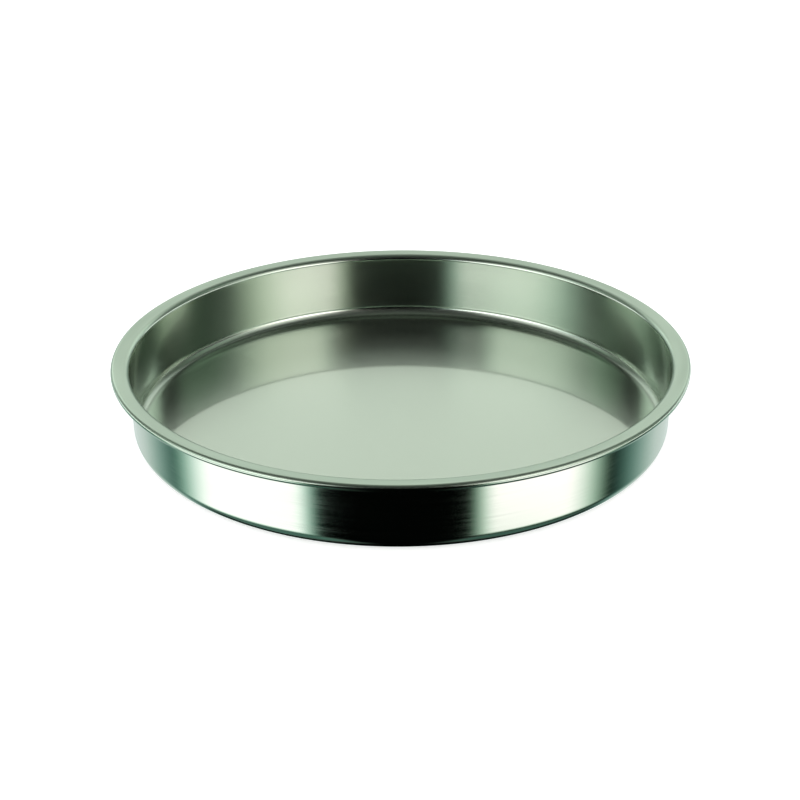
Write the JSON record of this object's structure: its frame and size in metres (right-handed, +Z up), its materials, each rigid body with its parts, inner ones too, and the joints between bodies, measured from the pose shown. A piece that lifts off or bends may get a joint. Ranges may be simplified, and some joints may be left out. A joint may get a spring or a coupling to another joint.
{
  "type": "round baking pan",
  "caption": "Round low steel baking pan: flat floor, rounded corner, nearly upright wall, narrow flange and rolled edge.",
  "frame": {"origin": "centre of the flat underside, on the surface the pan stands on", "axes": "+Z up along the pan's axis of revolution, +X and +Y any two square directions in the underside"},
  "size_m": [0.32, 0.32, 0.0414],
  "materials": {
    "steel": "satin, cold-rolled stainless sheet with fine lines round the wall"
  },
  "bodies": {
    "root": {"pan": "steel"}
  },
  "joints": []
}
